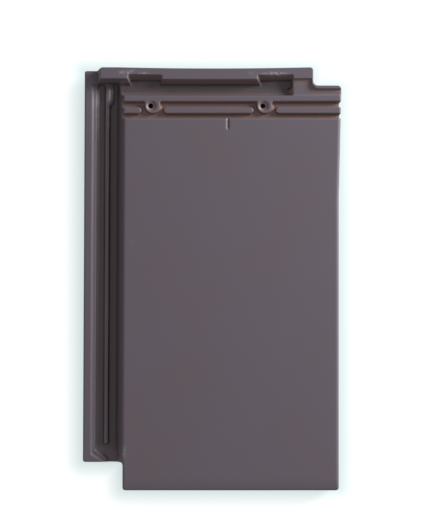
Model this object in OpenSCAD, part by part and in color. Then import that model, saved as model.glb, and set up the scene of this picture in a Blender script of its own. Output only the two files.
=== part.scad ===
// Flat interlocking clay roof tile, pressed and fired as one piece.
// X runs from the side lock to the cover edge, Y from the foot to the head and Z out of the
// weathered face. At Z = 0 the tile lies on its two foot ribs and its two hanging nibs.
// Inside the modules, x starts at the outer rim of the side lock, y at the foot edge, and
// z at the weathered face, so every drop is a depth below that face.

/* [Overall size] */
// Distance from one tile to the next across a course
cover_w = 240; // [200:1:300]
// Length from the foot edge to the head edge
tile_l = 462.5; // [380:0.5:570]
// Length of head that the next course covers
head_lap = 77; // [72:1:95]
// Thickness of the flat panel
panel_t = 12; // [10:0.5:15]
// Gap left between the panel and the neighbour's cover edge
side_gap = 2.6; // [2:0.1:5]
// How far the cover edge flares out at the head
head_flare = 2.7; // [0:0.1:4]
// How far the side lock leans in between foot and head
lock_lean = 2.1; // [0:0.1:4]

/* [Corner cuts] */
// Width of the notch at the foot of the side lock
notch_w = 44; // [38:0.5:54]
// Length of that notch
notch_l = 30.2; // [28:0.1:40]
// Width of the cut at the head of the cover edge
head_cut_w = 30.8; // [24:0.1:40]
// Length of that cut
head_cut_l = 19.9; // [14:0.1:24]

/* [Side lock] */
// Width of the side lock, out to the top edge of the panel
lock_w = 43.2; // [40:0.1:52]
// Width of the flat top of the outer rim
rim_w = 8.6; // [6:0.1:11]
// Width of the ledge inside the outer rim
ledge_w = 3.2; // [2:0.1:5]
// Floor width of the outer water channel
channel_1_w = 6.9; // [5.5:0.1:9]
// Floor width of the inner water channel
channel_2_w = 7.4; // [6:0.1:10]
// Top width of the rib between the water channels
lock_rib_w = 4.2; // [3:0.1:6]
// Drop of the outer rim
rim_drop = 10.5; // [9.5:0.1:13]
// Drop of the ledge
ledge_drop = 12; // [11:0.1:14]
// Drop of the rib between the water channels
lock_rib_drop = 11.8; // [11:0.1:14]
// Drop of the water channel floors
channel_drop = 15.5; // [14.5:0.1:19]
// Clay left under the water channels
lock_t = 7.5; // [6:0.1:10]
// Gap between the outer rim and the cover flange that lies over it
flange_gap = 1.2; // [0.8:0.1:2.5]
// Gap between a flange rib and the floor of its water channel
rib_floor_gap = 1; // [0.5:0.1:2]
// Gap at each side of a flange rib in its water channel
rib_side_gap = 1.4; // [1:0.1:2]

/* [Head] */
// Width of the head rim
head_rim_w = 12.3; // [9:0.1:16]
// Height of the head rim above the panel
head_rim_h = 1; // [0:0.1:3]
// Clear width of the head channel between its rim and the first head rib
head_channel_w = 18.3; // [16:0.1:24]
// Drop of the head channel
head_channel_drop = 9.6; // [7:0.1:11]
// Width of the first head rib
head_rib_1_w = 5.9; // [4:0.1:8]
// Width of the first head groove
head_groove_1_w = 7.5; // [6.5:0.1:10]
// Drop of the first head groove
head_groove_1_drop = 5.5; // [5:0.1:6.5]
// Width of the second head rib
head_rib_2_w = 5.6; // [4:0.1:8]
// Width of the second head groove
head_groove_2_w = 6.3; // [6:0.1:9]
// Drop of the second head groove
head_groove_2_drop = 5; // [4.8:0.1:6.5]
// Drop of the head ribs
head_rib_drop = 0.6; // [0:0.1:1.5]
// Drop of the land beside the head channel
land_drop = 1.6; // [0.8:0.1:3]
// Length of the flat beside the cover edge cut, between the first rib and the corner rim
corner_flat_l = 7; // [4:0.1:9]

/* [Hanging nibs and nail holes] */
// Distance of the nib centre nearest the side lock from the outer rim
nib_1_x = 69; // [66:0.5:78]
// Distance between the nib centres
nib_pitch = 141.5; // [110:0.5:170]
// Width of a nib
nib_w = 40; // [30:1:44]
// Length of a nib
nib_l = 23; // [18:0.5:26]
// How far a nib hooks below the batten bearing pads
nib_h = 12; // [10:0.5:18]
// Distance of the nail hole nearest the side lock from the outer rim
nail_1_x = 74.8; // [70:0.1:84]
// Distance between the nail holes
nail_pitch = 122.6; // [100:0.1:150]
// Diameter of a nail hole
nail_d = 5.3; // [4:0.1:6]
// Radius of the boss round a nail hole
boss_r = 8.2; // [7.5:0.1:9.5]
// Offset of a boss from its nail hole, towards the cover edge
boss_offset = 2; // [0:0.1:2.5]
// Radius of the dish in the top of a boss
dish_r = 5.5; // [5:0.1:7]
// Depth of that dish
dish_d = 1.3; // [0.5:0.1:2]

/* [Foot] */
// Thickness of the lip that hangs down at the foot edge
lip_t = 13; // [9:0.5:15]
// How far the foot ribs reach into the head grooves of the tile below
foot_rib_reach = 4; // [2.5:0.1:4.3]
// Tip width of a foot rib
foot_rib_w = 2.6; // [2:0.1:3]
// Gap left between the lip and the panel of the tile below
lip_gap = 0.5; // [0.2:0.1:1.5]
// Length of the nose, the stretch that falls away to the foot edge
nose_l = 14; // [8:0.5:20]
// Fall of the nose
nose_fall = 0.8; // [0.3:0.1:2]

/* [Hidden] */

eps = 0.01;
overlap = 0.1;
// How far tools and buried faces run past what they cut or join
spare = 1;
big = 60;
arc_steps = 6;

// Overall size
tile_w = cover_w + lock_w - side_gap;
box_w = tile_w + head_flare;
corner_r = 2.5;
notch_foot_r = 3;
notch_in_r = 2;
cover_foot_r = 3.5;
shoulder_r = 4;
cut_in_r = 5.4;
head_corner_r = 3;
lock_head_r = 2.2;
lean_y = notch_l + corner_r;
lock_lean_a = atan(lock_lean / (tile_l - lean_y));

// Levels, as drops below the weathered face
flange_drop = rim_drop - flange_gap;
flange_rib_drop = channel_drop - rib_floor_gap;
batten_drop = channel_drop + lock_t;
rest_drop = batten_drop + nib_h;
course_step = rest_drop - foot_rib_reach;
lip_drop = course_step - lip_gap;
head_block_drop = head_channel_drop + 9.4;
pad_relief_drop = head_groove_1_drop + panel_t;

// Side lock, from the outer rim inwards
rim_flank_w = 1.2;
ledge_flank_w = 2.3;
rib_flank_w = 0.9;
ledge_x = rim_w + rim_flank_w;
channel_1_x = ledge_x + ledge_w + ledge_flank_w;
lock_rib_x = channel_1_x + channel_1_w;
channel_2_x = lock_rib_x + lock_rib_w + 2 * rib_flank_w;
panel_wall_x = channel_2_x + channel_2_w;
panel_edge_r = 2.4;
flange_step_x = cover_w - 1.5;
under_slope = 2;

// Head, from the head edge down
head_y = tile_l - head_rim_w;
rib_1_y = head_y - head_channel_w;
groove_1_y = rib_1_y - head_rib_1_w;
rib_2_y = groove_1_y - head_groove_1_w;
groove_2_y = rib_2_y - head_rib_2_w;
panel_y = groove_2_y - head_groove_2_w;
shadow_draft = 2.3;
lit_draft = 0.9;
rim_wall_w = 7.2;
lock_end_y = tile_l - 16.8;
land_end_y = tile_l - 2.9;
rim_start_x = lock_lean + channel_1_x - 1.7;
rim_end_slope = 4;
rim_end_step = 2;
head_block_y = panel_y - 8;
channel_end_x = cover_w - 9.4;
channel_end_slope = 8;
cut_x = box_w - head_cut_w;
cut_y = tile_l - head_cut_l;
corner_rim_t = 2;
flare_y = cut_y - 120;
flare_end_y = cut_y - 10;

// Pockets, nibs, bosses
pocket_w = [37.6, 38.9];
pocket_back = 5;
pocket_slope = [3.8, 2];
nib_x = [nib_1_x, nib_1_x + nib_pitch];
pocket_lead = [19.3, 18.8];
pocket_x = [for (i = [0, 1]) nib_x[i] - pocket_lead[i]];
pad_lead = [23.8, 30];
nib_y = rib_1_y + 1.6;
nib_draft = 3;
pad_w = 56;
nail_x = [nail_1_x, nail_1_x + nail_pitch];
nail_y = tile_l - 42;
boss_flare = 1;
rib_gap_w = 12.4;
tick_x = 159.2;
tick_l = 11.5;
tick_w = 3.2;
tick_d = 1.5;

// Foot
gauge = tile_l - head_lap;
draft_shift = (shadow_draft - lit_draft) / 2;
foot_rib_2_y = panel_y + head_groove_2_w / 2 - draft_shift - gauge;
foot_rib_1_y = rib_2_y + head_groove_1_w / 2 - draft_shift - gauge;
foot_rib_draft = tan(8);
foot_rib_inset = 4;
foot_rib_start_x = notch_w + foot_rib_inset;
boss_clear = 3.4;
lock_end_drop = channel_drop - 1.5;
lock_end_flat = 13;
lock_end_ramp = 7;
ramp_end_y = notch_l + lock_end_flat + lock_end_ramp;
nose_r = 2.5;
cover_edge_r = 3;
notch_edge_r = 1.5;
draft_start_y = notch_l - side_gap / 2;

// A fan of points round a centre, from angle a0 to a1
function arc(cx, cy, r, a0, a1) =
    [for (i = [0 : arc_steps])
        let (a = a0 + (a1 - a0) * i / arc_steps)
        [cx + r * cos(a), cy + r * sin(a)]];

// Extrude an outline drawn in x and z from y0 to y1
module along_y(y0, y1) {
    translate([0, y1, 0]) rotate([90, 0, 0]) linear_extrude(y1 - y0) children();
}

// Extrude an outline drawn in y and z from x0 to x1
module along_x(x0, x1) {
    translate([x0, 0, 0]) rotate([90, 0, 90]) linear_extrude(x1 - x0) children();
}

// Extrude an outline drawn in x and y between two drops
module between(low_drop, high_drop) {
    translate([0, 0, -low_drop]) linear_extrude(low_drop - high_drop) children();
}

// Turn what follows the side lock to its lean, about the foot end of the line at x
module leaning(x = 0) {
    translate([x, lean_y, 0]) rotate([0, 0, -lock_lean_a]) translate([-x, -lean_y, 0]) children();
}

// Tool that rounds a top edge running from p to q, with the tile on its left
module edge_round(p, q, z, r) {
    run = norm(q - p);
    translate([p[0], p[1], z]) rotate([0, 0, atan2(q[1] - p[1], q[0] - p[0])])
        along_x(-overlap, run + overlap)
            polygon(concat(arc(r, -r, r, 90, 180), [[-r, -r], [-r, spare], [r, spare]]));
}

// Outline of the whole tile seen from above
module outline() {
    polygon(concat(
        arc(notch_w + notch_foot_r, notch_foot_r, notch_foot_r, 180, 270),
        arc(tile_w - cover_foot_r, cover_foot_r, cover_foot_r, 270, 360),
        [[tile_w, flare_y], [box_w, flare_end_y]],
        arc(box_w - shoulder_r, cut_y - shoulder_r, shoulder_r, 0, 90),
        arc(cut_x + cut_in_r, cut_y + cut_in_r, cut_in_r, 270, 180),
        arc(cut_x - head_corner_r, tile_l - head_corner_r, head_corner_r, 0, 90),
        [[rim_start_x + rim_end_slope + rim_end_step, tile_l], [rim_start_x, land_end_y]],
        arc(lock_lean + lock_head_r, land_end_y - lock_head_r, lock_head_r, 90, 180),
        arc(corner_r, lean_y, corner_r, 180, 270),
        arc(notch_w - notch_in_r, notch_l - notch_in_r, notch_in_r, 90, 0)
    ));
}

// Flat panel with the thinner cover flange beside it
module panel() {
    start_x = lock_w + 6;
    end_x = box_w + spare;
    along_y(0, tile_l) polygon([
        [start_x, 0], [end_x, 0], [end_x, -flange_drop], [flange_step_x, -flange_drop],
        [flange_step_x - under_slope, -panel_t], [start_x, -panel_t]
    ]);
}

// Side lock: outer rim, ledge, floor of the water channels and the wall up to the panel
module side_lock() {
    wall_a = atan2(channel_drop, lock_w - panel_wall_x);
    rim_bevel = [0.8, 1.8];
    under_bevel = [4, 5];
    ledge_fall = 0.4;
    under_run = 9;
    under_in = 2;
    under_tail = spare * (lock_w + under_run - panel_wall_x - under_in) / (batten_drop - panel_t);
    join_x = lock_w + under_run + 3;
    leaning() along_y(0, tile_l + spare) polygon(concat(
        [[-spare, -batten_drop + under_bevel[1]], [-spare, -rim_drop - rim_bevel[1]],
         [rim_bevel[0], -rim_drop], [rim_w, -rim_drop],
         [ledge_x, -ledge_drop], [ledge_x + ledge_w, -ledge_drop - ledge_fall],
         [channel_1_x, -channel_drop], [panel_wall_x, -channel_drop]],
        arc(lock_w + panel_edge_r, -panel_edge_r, panel_edge_r, 90 + wall_a, 90),
        [[join_x, 0], [join_x, -panel_t + spare], [lock_w + under_run + under_tail, -panel_t + spare],
         [panel_wall_x + under_in, -batten_drop], [under_bevel[0], -batten_drop]]
    ));
}

// Rib between the water channels, round at its foot end, with a low shoulder at its head end
module lock_rib() {
    rib_h = channel_drop - lock_rib_drop;
    foot_end_y = notch_l + 22;
    half_root = lock_rib_w / 2 + rib_flank_w;
    mid_x = lock_rib_x + half_root;
    shoulder_w = 3.6;
    shoulder_fall = 1.4;
    head_clear = 8;
    leaning() {
        along_y(foot_end_y, tile_l - head_clear) translate([mid_x, -channel_drop]) polygon([
            [-half_root, -spare], [-half_root, 0], [-lock_rib_w / 2, rib_h],
            [lock_rib_w / 2, rib_h], [half_root, 0], [half_root, -spare]
        ]);
        translate([mid_x, foot_end_y, -channel_drop])
            cylinder(h = rib_h, r1 = half_root, r2 = lock_rib_w / 2, $fn = 48);
        between(channel_drop + spare, lock_rib_drop + shoulder_fall) translate([mid_x, 0]) polygon([
            [0, rib_2_y], [lock_rib_w / 2, rib_2_y], [half_root + shoulder_w, groove_1_y],
            [half_root + shoulder_w, head_y - head_clear], [0, head_y]
        ]);
    }
}

// Foot end of the side lock: raised floor, widened outer rim and drip ridge
module lock_foot() {
    rim_out = 9.2;
    rim_run = 14.4;
    ridge_w = 2.2;
    ridge_h = 1.1;
    ledge_in_x = lock_rib_x + 4.6;
    ledge_in_y = notch_l + 4.4;
    base_drop = batten_drop - spare;
    rim_seat = 0.05;
    floor_bite = [4, 1.5];
    ledge_bite = 2;
    ledge_turn = [4.5, 4];
    rim_bite = 3;
    rim_turn = 0.3;
    rim_end_x = rim_w + rim_run * 1.5;
    ramp_tail_y = ramp_end_y + spare * lock_end_ramp / (channel_drop - lock_end_drop);
    along_x(rim_w - floor_bite[0], panel_wall_x + floor_bite[1]) polygon([
        [0, -base_drop], [0, -lock_end_drop], [notch_l + lock_end_flat, -lock_end_drop],
        [ramp_tail_y, -channel_drop - spare], [ramp_tail_y, -base_drop]
    ]);
    between(base_drop, ledge_drop) polygon([
        [rim_w - ledge_bite, 0], [rim_w - ledge_bite, notch_l + rim_out + ledge_turn[0]],
        [ledge_x + ledge_w, notch_l + rim_out + ledge_turn[1]],
        [ledge_in_x, ledge_in_y], [ledge_in_x, 0]
    ]);
    between(base_drop, rim_drop + rim_seat) polygon([
        [rim_w - rim_bite, 0], [rim_w - rim_bite, notch_l + rim_out], [rim_w - rim_turn, notch_l + rim_out],
        [rim_end_x, notch_l - rim_out / 2], [rim_end_x, 0]
    ]);
    between(base_drop, lock_end_drop - ridge_h)
        translate([panel_wall_x - ridge_w, 0]) square([ridge_w, notch_l + lock_end_flat]);
}

// Head block under the ribs and grooves, and the pads that bear on the roof batten
module head_block() {
    block_x = lock_w + 2;
    block_end_x = flange_step_x - under_slope;
    block_ramp = 6;
    pad_ramp = [5, 4];
    start_y = head_block_y - block_ramp;
    pad_start_y = head_block_y + 3;
    pad_end_y = rib_1_y + 4;
    along_x(block_x, block_end_x) polygon([
        [start_y, -panel_t + spare], [head_block_y, -pad_relief_drop],
        [rib_1_y, -head_block_drop], [tile_l, -head_block_drop], [tile_l, -spare], [start_y, -spare]
    ]);
    for (i = [0, 1])
        along_x(nib_x[i] - pad_lead[i], nib_x[i] - pad_lead[i] + pad_w) polygon([
            [pad_start_y - pad_ramp[0], -panel_t], [pad_start_y, -batten_drop],
            [pad_end_y, -batten_drop], [pad_end_y + pad_ramp[1], -panel_t]
        ]);
}

// Head rim with its drafted left end and the low rim that borders the corner cut
module head_rim() {
    full_x = lock_w + 8;
    land_bite = 2;
    base_drop = batten_drop - spare;
    wall_tail_y = head_y - rim_wall_w * (1 + spare / (channel_drop + head_rim_h));
    intersection() {
        along_x(0, cut_x + spare) polygon([
            [tile_l + spare, -base_drop], [tile_l + spare, head_rim_h], [head_y, head_rim_h],
            [wall_tail_y, -channel_drop - spare], [wall_tail_y, -base_drop]
        ]);
        union() {
            along_y(0, tile_l + 2 * spare) polygon([
                [rim_start_x, -base_drop], [rim_start_x, -rim_drop],
                [rim_start_x + rim_end_slope, head_rim_h], [full_x, head_rim_h], [full_x, -base_drop]
            ]);
            along_y(head_y - eps, tile_l + 2 * spare) translate([full_x - eps, -flange_drop])
                square([cut_x, flange_drop + head_rim_h]);
        }
    }
    between(flange_drop, -head_rim_h)
        translate([channel_end_x - land_bite, rib_1_y]) square([box_w, tile_l]);
}

// Land at the head of the side lock, level with its outer rim
module lock_land() {
    base_rise = 4;
    rim_bite = 2;
    head_bite = 1;
    land_w = rim_start_x + head_bite - rim_w + rim_bite;
    between(batten_drop - base_rise, rim_drop)
        translate([rim_w - rim_bite, lock_end_y]) square([land_w, tile_l - lock_end_y]);
}

// Lip and cross ribs under the foot
module foot() {
    lip_root = lip_t + 3;
    step_clear = 2;
    along_x(notch_w - spare, tile_w) polygon([
        [-spare, -2 * spare], [-spare, -lip_drop], [lip_t, -lip_drop],
        [lip_root, -flange_drop], [lip_root, -2 * spare]
    ]);
    foot_rib(foot_rib_2_y, foot_rib_start_x, tile_w - foot_rib_inset);
    difference() {
        foot_rib(foot_rib_1_y, foot_rib_start_x, flange_step_x - step_clear);
        for (x = nail_x)
            translate([x + boss_offset - boss_r - boss_clear, 0, -rest_drop - spare])
                cube([2 * (boss_r + boss_clear), 2 * foot_rib_1_y, rest_drop + spare - panel_t]);
    }
}

// One drafted cross rib under the foot, centred on y
module foot_rib(y, x0, x1) {
    root = foot_rib_w / 2 + (rest_drop - flange_drop) * foot_rib_draft;
    along_x(x0, x1) translate([y, 0]) polygon([
        [-root, -flange_drop], [-foot_rib_w / 2, -rest_drop],
        [foot_rib_w / 2, -rest_drop], [root, -flange_drop]
    ]);
}

// Two ribs under the cover flange that drop into the neighbour's water channels
module flange_ribs() {
    flank = 1.4;
    rib_x = [channel_1_x + channel_1_w / 2, channel_2_x + channel_2_w / 2];
    tip_w = [channel_1_w - 2 * rib_side_gap, channel_2_w - 2 * rib_side_gap];
    end_gap = 3;
    start_y = ramp_end_y + 2;
    end_y = [cut_y - end_gap, rib_2_y - end_gap];
    leaning(cover_w) for (i = [0, 1])
        along_y(start_y, end_y[i])
            translate([cover_w + rib_x[i], 0]) polygon([
                [-tip_w[i] / 2 - flank, -flange_drop + spare], [-tip_w[i] / 2, -flange_rib_drop],
                [tip_w[i] / 2, -flange_rib_drop], [tip_w[i] / 2 + flank, -flange_drop + spare]
            ]);
}

// Two drafted nibs that hook over the batten
module nibs() {
    for (x = nib_x)
        intersection() {
            along_x(x - nib_w / 2, x + nib_w / 2) polygon([
                [nib_y, -head_channel_drop - spare], [nib_y, -rest_drop],
                [nib_y + nib_l - nib_draft, -rest_drop], [nib_y + nib_l, -head_channel_drop - spare]
            ]);
            along_y(0, tile_l) translate([x, 0]) polygon([
                [-nib_w / 2, 0], [-nib_w / 2 + nib_draft, -rest_drop],
                [nib_w / 2 - nib_draft, -rest_drop], [nib_w / 2, 0]
            ]);
        }
}

// Tool for one groove across the head, from its foot side y to y + w
module head_groove(y, w, drop) {
    along_x(panel_wall_x, box_w + spare) polygon([
        [y, 2 * spare], [y, 0], [y + lit_draft, -drop],
        [y + w - shadow_draft, -drop], [y + w, 0], [y + w, 2 * spare]
    ]);
}

// Tool for the head channel: concave floor, drafted rim wall and a sloped end
module head_channel() {
    floor_r = 7.2;
    floor_run = 2.4;
    wall_h = 2.6;
    wall_run = 0.6;
    wall_step = 0.4;
    intersection() {
        along_x(panel_wall_x, channel_end_x + spare) polygon(concat(
            [[rib_1_y, head_rim_h + spare], [rib_1_y, -head_rib_drop - wall_step],
             [rib_1_y + wall_run, -head_channel_drop + wall_h]],
            arc(head_y - rim_wall_w - floor_run, -head_channel_drop + floor_r, floor_r, 235, 300),
            [[head_y, head_rim_h], [head_y, head_rim_h + spare]]
        ));
        along_y(0, tile_l) polygon([
            [0, big], [0, -head_channel_drop - spare],
            [channel_end_x - channel_end_slope, -head_channel_drop - spare],
            [channel_end_x, -land_drop], [channel_end_x, big]
        ]);
    }
}

// Tool for the pockets that widen the head channel over the nibs
module pockets() {
    start_y = rib_1_y + 8;
    back_y = head_y + pocket_back;
    top = 2 * spare;
    top_flare = [0.5, 0.2];
    for (i = [0, 1])
        intersection() {
            along_x(pocket_x[i], pocket_x[i] + pocket_w[i]) polygon([
                [start_y, top], [start_y, -head_channel_drop], [back_y - rim_wall_w, -head_channel_drop],
                [back_y, head_rim_h], [back_y, top]
            ]);
            along_y(0, tile_l) translate([pocket_x[i], 0]) polygon([
                [-top_flare[0], top], [0, head_rim_h], [pocket_slope[0], -head_channel_drop - spare],
                [pocket_w[i] - pocket_slope[1], -head_channel_drop - spare], [pocket_w[i], head_rim_h],
                [pocket_w[i] + top_flare[1], top]
            ]);
        }
}

// Tool for the land beside the head channel and the flat along the corner cut
module land() {
    rim_in_x = cut_x - corner_rim_t;
    start_x = channel_end_x - 4;
    flat_y = rib_1_y + corner_flat_l;
    end_y = head_y + 0.2;
    in_r = cut_in_r + corner_rim_t;
    between(land_drop, -big) polygon(concat(
        [[start_x, rib_1_y], [box_w + spare, rib_1_y], [box_w + spare, flat_y]],
        arc(rim_in_x + in_r, flat_y + in_r, in_r, 270, 180),
        [[rim_in_x, end_y], [start_x, end_y]]
    ));
}

// Tool that takes the head ribs down to their level
module rib_tops() {
    between(head_rib_drop, -big)
        translate([panel_wall_x, panel_y + spare]) square([box_w, rib_1_y - panel_y - spare]);
}

// Tool that interrupts the second rib round each boss, leaving round rib ends
module rib_gaps() {
    end_r = head_rib_2_w / 2;
    end_x = rib_gap_w + end_r;
    gap_l = head_rib_2_w + shadow_draft + lit_draft;
    tip_h = head_groove_2_drop + 2 * spare;
    for (x = nail_x)
        translate([x + boss_offset, rib_2_y - end_r])
            difference() {
                between(head_groove_2_drop, -spare)
                    translate([-end_x, -end_r - shadow_draft]) square([2 * end_x, gap_l]);
                for (side = [-1, 1])
                    translate([side * end_x, 0, -head_groove_2_drop - spare])
                        cylinder(h = tip_h, r1 = end_r + lit_draft, r2 = end_r, $fn = 40);
            }
}

// Boss round a nail hole, joined to the first rib
module boss(x) {
    base = head_groove_1_drop + spare;
    boss_h = base - head_rib_drop;
    translate([x + boss_offset, nail_y, -base])
        cylinder(h = boss_h, r1 = boss_r + boss_flare, r2 = boss_r, $fn = 64);
    translate([x + boss_offset - boss_r, nail_y, -base])
        cube([2 * boss_r, groove_1_y - nail_y + spare, boss_h]);
}

// Dish and nail hole, as a tool
module nail_hole(x) {
    translate([x + boss_offset / 2, nail_y, -head_rib_drop - dish_d])
        cylinder(h = dish_d + eps, r1 = dish_r - 1, r2 = dish_r, $fn = 64);
    translate([x, nail_y, -big])
        cylinder(h = big, d = nail_d, $fn = 48);
}

// Engraved setting-out mark on the panel, below the second groove
module tick() {
    along_y(panel_y - tick_l, panel_y + spare) translate([tick_x, 0])
        polygon([
            [-tick_w / 2, overlap], [tick_w / 2, overlap],
            [tick_w / 8, -tick_d], [-tick_w / 8, -tick_d]
        ]);
}

// Tool that drafts the cover edge back from p to q, parallel to the neighbour's panel wall
module cover_edge_draft(p, q) {
    run = norm(q - p);
    slope = (lock_w - panel_wall_x) / channel_drop;
    depth = rest_drop + spare - cover_edge_r;
    tool_w = 8;
    translate([p[0], p[1], -cover_edge_r]) rotate([0, 0, atan2(q[1] - p[1], q[0] - p[0])])
        along_x(-overlap, run + overlap)
            polygon([[0, 0], [slope * depth, -depth], [-tool_w, -depth], [-tool_w, 0]]);
}

// Nose of the foot edge and the rounded side edges, as tools
module edges() {
    run = nose_l - nose_r;
    crown_r = (run * run + nose_fall * nose_fall) / (2 * nose_fall);
    along_x(0, box_w + spare) polygon(concat(
        [[nose_l, spare]],
        arc(nose_l, -crown_r, crown_r, 90, 90 + asin(run / crown_r)),
        arc(nose_r, -nose_fall - nose_r, nose_r, 80, 180),
        [[-spare, -nose_fall - nose_r], [-spare, spare]]
    ));
    edge_round([tile_w, 0], [tile_w, flare_y], 0, cover_edge_r);
    edge_round([tile_w, flare_y], [box_w, flare_end_y], 0, cover_edge_r);
    edge_round([notch_w, notch_l], [notch_w, 0], 0, notch_edge_r);
    cover_edge_draft([tile_w, draft_start_y], [tile_w, flare_y]);
    cover_edge_draft([tile_w, flare_y], [box_w, flare_end_y]);
    cover_edge_draft([box_w, flare_end_y], [box_w, tile_l]);
}

module roof_tile() {
    color("#615a61") translate([-box_w / 2, -tile_l / 2, rest_drop])
        difference() {
            union() {
                difference() {
                    intersection() {
                        between(rest_drop, -head_rim_h) outline();
                        union() {
                            panel();
                            side_lock();
                            lock_foot();
                            head_block();
                            head_rim();
                            foot();
                            flange_ribs();
                            nibs();
                        }
                    }
                    head_groove(groove_2_y - head_groove_2_w, head_groove_2_w, head_groove_2_drop);
                    head_groove(rib_2_y, head_groove_1_w, head_groove_1_drop);
                    head_channel();
                    pockets();
                    land();
                    rib_tops();
                    rib_gaps();
                    tick();
                    edges();
                }
                intersection() {
                    between(rest_drop, 0) outline();
                    union() {
                        lock_rib();
                        lock_land();
                    }
                }
                for (x = nail_x) boss(x);
            }
            for (x = nail_x) nail_hole(x);
        }
}

roof_tile();
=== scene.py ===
import math

import bpy
import numpy as np
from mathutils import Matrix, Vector
from mathutils.bvhtree import BVHTree


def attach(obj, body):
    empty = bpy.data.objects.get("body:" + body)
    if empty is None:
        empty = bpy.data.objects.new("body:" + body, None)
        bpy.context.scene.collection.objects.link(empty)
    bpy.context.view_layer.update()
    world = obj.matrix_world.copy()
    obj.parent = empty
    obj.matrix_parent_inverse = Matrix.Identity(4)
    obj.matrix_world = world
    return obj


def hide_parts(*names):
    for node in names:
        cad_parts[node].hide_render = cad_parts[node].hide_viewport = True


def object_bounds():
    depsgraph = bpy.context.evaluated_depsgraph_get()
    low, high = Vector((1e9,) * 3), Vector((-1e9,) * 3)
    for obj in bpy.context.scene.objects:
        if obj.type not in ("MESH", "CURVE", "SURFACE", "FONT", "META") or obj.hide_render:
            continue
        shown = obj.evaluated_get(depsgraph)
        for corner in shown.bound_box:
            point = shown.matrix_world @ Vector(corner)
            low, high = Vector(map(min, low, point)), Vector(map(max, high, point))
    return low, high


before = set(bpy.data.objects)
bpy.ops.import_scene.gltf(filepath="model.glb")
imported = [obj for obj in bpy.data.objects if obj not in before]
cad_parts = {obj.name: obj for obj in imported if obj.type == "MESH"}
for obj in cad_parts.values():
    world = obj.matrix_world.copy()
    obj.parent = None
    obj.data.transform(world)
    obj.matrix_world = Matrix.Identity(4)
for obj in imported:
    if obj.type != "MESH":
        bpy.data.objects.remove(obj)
cad_low, cad_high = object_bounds()

MM = 0.001

# ---------------------------------------------------------------- helpers


def colour(text, alpha=1.0):
    """An sRGB hex value as a linear colour."""
    parts = [int(text[i:i + 2], 16) / 255 for i in (1, 3, 5)]
    linear = [c / 12.92 if c <= 0.04045 else ((c + 0.055) / 1.055) ** 2.4 for c in parts]
    return (*linear, alpha)


def add(tree, kind, inputs=None, **settings):
    """Adds a node with its settings. Each input is a plain value or the socket that feeds it."""
    node = tree.nodes.new(kind)
    for name, value in settings.items():
        setattr(node, name, value)
    for key, value in (inputs or {}).items():
        if isinstance(value, bpy.types.NodeSocket):
            tree.links.new(value, node.inputs[key])
        else:
            node.inputs[key].default_value = value
    return node


# ---------------------------------------------------------------- tile

WELD = 0.01 * MM
VOXEL = 0.8 * MM         # fine enough for the dishes, the tick and the foot ribs
ROUND_PASSES = 3         # smoothing passes that give the edges their fired radius
ROUND_FACTOR = 0.5
TRIANGLES = 180000


def merged_copy(node):
    """A copy of a CAD node's mesh with its loose triangles joined."""
    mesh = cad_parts[node].data.copy()
    piece = bpy.data.objects.new("tile_body", mesh)
    bpy.context.scene.collection.objects.link(piece)
    piece.modifiers.new("weld", "WELD").merge_threshold = WELD
    return piece


def applied(piece):
    """Turns the evaluated piece into a plain mesh and removes its modifiers."""
    graph = bpy.context.evaluated_depsgraph_get()
    mesh = bpy.data.meshes.new_from_object(piece.evaluated_get(graph))
    piece.modifiers.clear()
    piece.data = mesh
    return piece


def softened(piece):
    """Remeshes the tile finely and rounds its edges, as pressed and engobed clay has them."""
    remesh = piece.modifiers.new("remesh", "REMESH")
    remesh.mode = "VOXEL"
    remesh.voxel_size = VOXEL
    remesh.adaptivity = 0.0
    applied(piece)
    smooth = piece.modifiers.new("smooth", "SMOOTH")
    smooth.factor = ROUND_FACTOR
    smooth.iterations = ROUND_PASSES
    applied(piece)
    count = sum(len(p.vertices) - 2 for p in piece.data.polygons)
    thin = piece.modifiers.new("thin", "DECIMATE")
    thin.ratio = min(1.0, TRIANGLES / count)
    applied(piece)
    piece.data.polygons.foreach_set("use_smooth", [True] * len(piece.data.polygons))
    return piece


BOW_MM = 1.3             # how far the head edge dips between its ends after firing
BOW_CENTRE_MM = 3.5      # middle of the dip across the tile
BOW_HALF_MM = 106        # from there to where it fades out
BOW_START_MM = 170       # it grows from here up the tile to the head edge
BOW_END_MM = 231


def coordinates(piece):
    """A piece's points as rows of x, y and z."""
    points = np.empty(len(piece.data.vertices) * 3)
    piece.data.vertices.foreach_get("co", points)
    return points.reshape(-1, 3)


def fired(piece):
    """Bows the head edge slightly, as firing does, and holds every point inside the CAD box."""
    points = coordinates(piece)
    across = (points[:, 0] / MM - BOW_CENTRE_MM) / BOW_HALF_MM
    along = ((points[:, 1] / MM - BOW_START_MM) / (BOW_END_MM - BOW_START_MM)).clip(0, 1)
    points[:, 1] -= BOW_MM * MM * (1 - across ** 2).clip(0) * along ** 2
    points = points.clip(np.array(cad_low), np.array(cad_high))
    piece.data.vertices.foreach_set("co", points.ravel())
    piece.data.update()


CAVITY_REACH = 16 * MM   # how far a recess looks for its walls
CAVITY_RAYS = 20
RAY_START = 0.3 * MM     # how far off the surface each look begins
SHORTEST_EDGE = 0.1 * MM


def directions(count):
    """Evenly spread directions over the upper half of a ball."""
    golden = math.pi * (3 - math.sqrt(5))
    heights = [(i + 0.5) / count for i in range(count)]
    rings = [(i * golden, math.sqrt(1 - h * h), h) for i, h in enumerate(heights)]
    return [Vector((math.cos(a) * r, math.sin(a) * r, h)) for a, r, h in rings]


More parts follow.
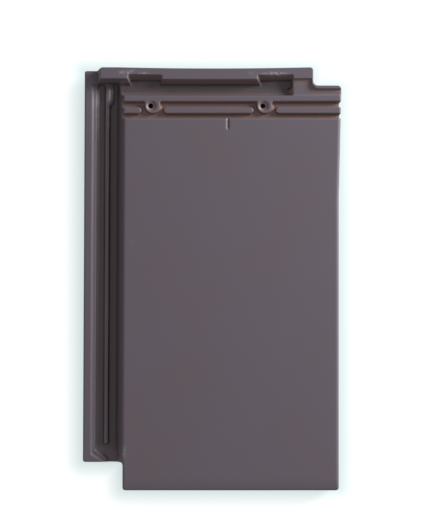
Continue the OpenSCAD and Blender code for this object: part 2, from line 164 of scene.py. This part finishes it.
def cavity(piece):
    """Stores how shut in each point is, from 0 in the open to 1 deep in a recess."""
    mesh = piece.data
    tree = BVHTree.FromPolygons([v.co for v in mesh.vertices], [p.vertices for p in mesh.polygons])
    rays = directions(CAVITY_RAYS)
    values = np.zeros(len(mesh.vertices), np.float32)
    for i, vertex in enumerate(mesh.vertices):
        normal = vertex.normal
        turn = normal.to_track_quat("Z", "Y")
        start = vertex.co + normal * RAY_START
        hits = sum(tree.ray_cast(start, turn @ ray, CAVITY_REACH)[0] is not None for ray in rays)
        values[i] = hits / CAVITY_RAYS
    mesh.attributes.new("cavity", "FLOAT", "POINT").data.foreach_set("value", values)


def edge_bulge(piece):
    """Stores how sharply each point bulges, so that bulging edges are drawn lighter grey."""
    mesh = piece.data
    points = coordinates(piece)
    count = len(points)
    normals = np.empty(count * 3)
    mesh.vertex_normals.foreach_get("vector", normals)
    normals = normals.reshape(-1, 3)
    pairs = np.empty(len(mesh.edges) * 2, int)
    mesh.edges.foreach_get("vertices", pairs)
    a, b = pairs.reshape(-1, 2).T
    step = points[b] - points[a]
    length = np.maximum(np.linalg.norm(step, axis=1), SHORTEST_EDGE)
    bend = ((normals[b] - normals[a]) * step).sum(1) / length ** 2
    total = np.zeros(count)
    number = np.zeros(count)
    for end in (a, b):
        np.add.at(total, end, bend)
        np.add.at(number, end, 1)
    values = (total / np.maximum(number, 1) * MM).clip(-1, 1).astype(np.float32)
    mesh.attributes.new("bulge", "FLOAT", "POINT").data.foreach_set("value", values)


# Rubbed places on the head rim and the panel's left edge: x, y, half length, half width, strength
SCUFFS_MM = [
    (-98.8, 224.7, 2.6, 1.0, 0.6), (-91.9, 225.3, 1.8, 2.0, 0.9), (-86.0, 226.9, 1.4, 0.8, 0.5),
    (-74.0, 225.3, 3.8, 0.9, 0.7), (69.0, 223.7, 8.2, 1.2, 1.0), (44.0, 223.7, 1.8, 1.2, 0.5),
    (-96.3, -189.0, 1.2, 4.0, 0.5), (-88.0, 39.4, 1.2, 1.0, 0.4),
]


def scuffs(piece):
    """Stores how rubbed each point is, from 0 to 1."""
    points = coordinates(piece) / MM
    values = np.zeros(len(points))
    for x, y, half_x, half_y, strength in SCUFFS_MM:
        far = ((points[:, 0] - x) / half_x) ** 2 + ((points[:, 1] - y) / half_y) ** 2
        values = np.maximum(values, strength * np.exp(-far / 2))
    store = piece.data.attributes.new("scuff", "FLOAT", "POINT")
    store.data.foreach_set("value", values.astype(np.float32))


# ---------------------------------------------------------------- materials

ENGOBE = colour("#342c35")
ENGOBE_THIN = colour("#352b31")      # where the spray fell a little thinner and the body warms it
CHANNEL_PAINTED_SHADE = colour("#24171a")    # painted shade in the deep channels, dark brown
GROOVE_PAINTED_SHADE = colour("#47322f")     # painted shade in the shallow grooves, warmer and lighter than the channels'
EDGE_GREY = colour("#433a43")
SCUFF_GREY = colour("#6f7073")
TERRACOTTA = colour("#8a5540")
TERRACOTTA_DARK = colour("#74483a")
CLOUD_MM = 55            # width of the faint clouds left by spraying
GRAIN_MM = 1.6           # engobe grain, drawn coarser than real so that it shows
GRAIN_RISE_MM = 0.08     # height of that grain
PAINTED_SHADE_LEVELS_MM = (27, 29.5)     # between the channels' painted shade below and the grooves' painted shade above
BARE_LEVELS_MM = (14, 11.5)      # bare clay on the nibs and foot ribs below these heights
SHADED_LEVELS_MM = (18.5, 16)    # and in shut-in places below these
FOOT_FACE_MM = (-229, -226.5)    # the engobed foot face ends behind this
ENGOBE_ROUGHNESS = 0.62
FIRED_IOR = 1.5


def engobed_clay():
    """Matt sprayed engobe over pressed and fired clay: a smooth, faintly clouded brown-grey skin on the
    weathered face, with painted brown shade in the recesses, and the bare orange body showing underneath."""
    material = bpy.data.materials.new("matt_engobe_on_fired_clay")
    material.use_nodes = True
    tree = material.node_tree
    tree.nodes.clear()
    place = add(tree, "ShaderNodeTexCoord").outputs["Object"]
    axes = add(tree, "ShaderNodeSeparateXYZ", {"Vector": place}).outputs
    facing = add(tree, "ShaderNodeNewGeometry").outputs["Normal"]
    upward = add(tree, "ShaderNodeSeparateXYZ", {"Vector": facing}).outputs["Z"]
    shut_in = add(tree, "ShaderNodeAttribute", attribute_name="cavity").outputs["Fac"]
    bulge = add(tree, "ShaderNodeAttribute", attribute_name="bulge").outputs["Fac"]
    rubbed = add(tree, "ShaderNodeAttribute", attribute_name="scuff").outputs["Fac"]
    noise, span, blend = "ShaderNodeTexNoise", "ShaderNodeMapRange", "ShaderNodeMix"
    cloud = add(tree, noise, {"Vector": place, "Scale": 1 / (CLOUD_MM * MM), "Detail": 4.0}).outputs["Fac"]
    grain = add(tree, noise, {"Vector": place, "Scale": 1 / (GRAIN_MM * MM), "Detail": 4.0}).outputs["Fac"]

    # Weathered face: faint clouds, then painted brown shade in the recesses
    patchy = add(tree, span, {"Value": cloud, "From Min": 0.35, "From Max": 0.65}).outputs[0]
    skin = add(tree, blend, {0: patchy, 6: ENGOBE_THIN, 7: ENGOBE}, data_type="RGBA").outputs[2]
    start, end = (level * MM for level in PAINTED_SHADE_LEVELS_MM)
    raised = add(tree, span, {"Value": axes["Z"], "From Min": start, "From Max": end}).outputs[0]
    brown = add(tree, blend, {0: raised, 6: CHANNEL_PAINTED_SHADE, 7: GROOVE_PAINTED_SHADE}, data_type="RGBA")
    # painted shade: the more shut in a point is, the more it takes the dark brown
    recess_shade = add(tree, span, {"Value": shut_in, "From Min": 0.08, "From Max": 0.36}).outputs[0]
    skin = add(tree, blend, {0: recess_shade, 6: skin, 7: brown.outputs[2]}, data_type="RGBA").outputs[2]

    # Bulging edges drawn lighter grey, and the rubbed places
    lighter_edge = add(tree, span, {"Value": bulge, "From Min": 0.2, "From Max": 0.55, "To Max": 0.35}).outputs[0]
    skin = add(tree, blend, {0: lighter_edge, 6: skin, 7: EDGE_GREY}, data_type="RGBA").outputs[2]
    broken = add(tree, span, {"Value": grain, "From Min": 0.4, "From Max": 0.6}).outputs[0]
    mark = add(tree, "ShaderNodeMath", {0: rubbed, 1: broken}, operation="MULTIPLY").outputs[0]
    skin = add(tree, blend, {0: mark, 6: skin, 7: SCUFF_GREY}, data_type="RGBA").outputs[2]

    # Underside: the bare body, with the nibs, foot ribs and the back of the lip
    clay = add(tree, blend, {0: cloud, 6: TERRACOTTA_DARK, 7: TERRACOTTA}, data_type="RGBA").outputs[2]
    below = add(tree, span, {"Value": upward, "From Min": -0.5, "From Max": -0.75}).outputs[0]
    start, end = (level * MM for level in BARE_LEVELS_MM)
    low = add(tree, span, {"Value": axes["Z"], "From Min": start, "From Max": end}).outputs[0]
    start, end = (level * MM for level in FOOT_FACE_MM)
    behind = add(tree, span, {"Value": axes["Y"], "From Min": start, "From Max": end}).outputs[0]
    hidden = add(tree, "ShaderNodeMath", {0: low, 1: behind}, operation="MULTIPLY").outputs[0]
    inner = add(tree, span, {"Value": shut_in, "From Min": 0.1, "From Max": 0.3}).outputs[0]
    start, end = (level * MM for level in SHADED_LEVELS_MM)
    under = add(tree, span, {"Value": axes["Z"], "From Min": start, "From Max": end}).outputs[0]
    inside = add(tree, "ShaderNodeMath", {0: inner, 1: under}, operation="MULTIPLY").outputs[0]
    turned = add(tree, "ShaderNodeMath", {0: hidden, 1: inside}, operation="MAXIMUM").outputs[0]
    bare = add(tree, "ShaderNodeMath", {0: below, 1: turned}, operation="MAXIMUM").outputs[0]
    base = add(tree, blend, {0: bare, 6: skin, 7: clay}, data_type="RGBA").outputs[2]

    grit = {"Height": grain, "Strength": 0.22, "Distance": GRAIN_RISE_MM * MM}
    bump = add(tree, "ShaderNodeBump", grit).outputs[0]
    finish = {"Base Color": base, "Normal": bump, "Roughness": ENGOBE_ROUGHNESS, "IOR": FIRED_IOR}
    shader = add(tree, "ShaderNodeBsdfPrincipled", finish).outputs[0]
    add(tree, "ShaderNodeOutputMaterial", {"Surface": shader})
    return material


BOARD_GREY = colour("#565858")
BOARD_ROUGHNESS = 0.9
PAINTED_SHADOW_BLACK = (0, 0, 0, 1)
PAINTED_HALO_GLOW = (0.55, 0.65, 0.65, 1)    # dimmer cool glow close to the tile, a painted shadow halo
GLOW_FAR = (1, 1, 1, 1)              # and past the halo
HALO_MM = 28
PAINTED_SHADOW_EDGE_MM = 5
TALL_MM = 1000

# Upright blocks as centre and half size: two that make up the tile's outline, and the patch of painted
# shadow under it
OUTLINE_BLOCKS_MM = [
    ((22, -9.95, 0), (119.65, 221.3, TALL_MM)),
    ((-15.4, 15.2, 0), (126.25, 216.05, TALL_MM)),
]
PAINTED_SHADOW_BLOCK_MM = ((0, 0, 0), (80, 194, TALL_MM))


def board_with_painted_shadow():
    """White board lit from below: an even pale ground, a painted cool shadow halo round the tile, painted
    black shadow under it.
    """
    material = bpy.data.materials.new("matt_board_with_painted_shadow")
    material.use_nodes = True
    tree = material.node_tree
    place = add(tree, "ShaderNodeTexCoord").outputs["Object"]
    vector = "ShaderNodeVectorMath"
    away = []
    for block in (*OUTLINE_BLOCKS_MM, PAINTED_SHADOW_BLOCK_MM):
        centre, half = ([v * MM for v in part] for part in block)
        moved = add(tree, vector, {0: place, 1: centre}, operation="SUBTRACT").outputs[0]
        mirrored = add(tree, vector, {0: moved}, operation="ABSOLUTE").outputs[0]
        past = add(tree, vector, {0: mirrored, 1: half}, operation="SUBTRACT").outputs[0]
        clear = add(tree, vector, {0: past, 1: (0, 0, 0)}, operation="MAXIMUM").outputs[0]
        away.append(add(tree, vector, {0: clear}, operation="LENGTH").outputs["Value"])
    span, blend = "ShaderNodeMapRange", "ShaderNodeMix"
    nearest = add(tree, "ShaderNodeMath", {0: away[0], 1: away[1]}, operation="MINIMUM").outputs[0]
    # painted shadow: the glow dims to a cool grey halo near the tile's outline
    halo = add(tree, span, {"Value": nearest, "From Max": HALO_MM * MM}).outputs[0]
    # painted shadow under the tile: black with no glow, which also blackens the nail holes
    lit = add(tree, span, {"Value": away[2], "From Max": PAINTED_SHADOW_EDGE_MM * MM}).outputs[0]
    glow = add(tree, blend, {0: halo, 6: PAINTED_HALO_GLOW, 7: GLOW_FAR}, data_type="RGBA").outputs[2]
    board = add(tree, blend, {0: lit, 6: PAINTED_SHADOW_BLACK, 7: BOARD_GREY}, data_type="RGBA").outputs[2]
    shader = tree.nodes["Principled BSDF"]
    shader.inputs["Roughness"].default_value = BOARD_ROUGHNESS
    for key, socket in (("Base Color", board), ("Emission Color", glow), ("Emission Strength", lit)):
        tree.links.new(socket, shader.inputs[key])
    return material


# ---------------------------------------------------------------- camera, light, floor

CAMERA_HEIGHT = 2.0      # metres above the weathered face
VIEW_HEIGHT = 576.3648 * MM      # how much of the weathered face's plane the view takes in, top to bottom
SENSOR = 24
AIM = (-0.3 * MM, 16.4 * MM)     # from the tile's centre
SURROUND_LIGHT = 0.95
KEY_PLACE = (1.95, 1.1, 0.8)     # over the cover edge and the head
KEY_SIZE = 0.8
KEY_WATTS = 200
KEY_TINT = (0.97, 0.98, 1.0)
FLOOR_HALF = 3.0
FLOOR_GAP = 0.2 * MM


def make_camera():
    """A camera straight above the tile."""
    data = bpy.data.cameras.new("camera")
    data.sensor_fit = "VERTICAL"
    data.sensor_height = SENSOR
    data.lens = SENSOR * CAMERA_HEIGHT / VIEW_HEIGHT
    camera = bpy.data.objects.new("camera", data)
    bpy.context.scene.collection.objects.link(camera)
    camera.location = (*AIM, cad_high.z + CAMERA_HEIGHT)
    bpy.context.scene.camera = camera


def soft_light(name, place, size, watts, tint):
    """A square area light that faces the tile."""
    data = bpy.data.lights.new(name, "AREA")
    data.size = size
    data.energy = watts
    data.color = tint
    light = bpy.data.objects.new(name, data)
    bpy.context.scene.collection.objects.link(light)
    light.location = place
    light.rotation_euler = (-Vector(place)).to_track_quat("-Z", "Y").to_euler()


def make_studio():
    """Lit board, soft surrounding light and one large soft key from the head and the cover edge."""
    world = bpy.data.worlds.new("studio")
    bpy.context.scene.world = world
    world.use_nodes = True
    sky = world.node_tree.nodes["Background"]
    sky.inputs["Color"].default_value = (1, 1, 1, 1)
    sky.inputs["Strength"].default_value = SURROUND_LIGHT
    soft_light("key", KEY_PLACE, KEY_SIZE, KEY_WATTS, KEY_TINT)
    mesh = bpy.data.meshes.new("floor")
    level = cad_low.z - FLOOR_GAP
    corners = [(x * FLOOR_HALF, y * FLOOR_HALF, level) for x, y in ((-1, -1), (1, -1), (1, 1), (-1, 1))]
    mesh.from_pydata(corners, [], [(0, 1, 2, 3)])
    floor = bpy.data.objects.new("floor", mesh)
    bpy.context.scene.collection.objects.link(floor)
    mesh.materials.append(board_with_painted_shadow())


bpy.context.scene.view_settings.view_transform = "Standard"
make_camera()
make_studio()

tile = softened(merged_copy("roof_tile"))
fired(tile)
cavity(tile)
edge_bulge(tile)
scuffs(tile)
tile.data.materials.clear()
tile.data.materials.append(engobed_clay())
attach(tile, "root")
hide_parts("roof_tile")
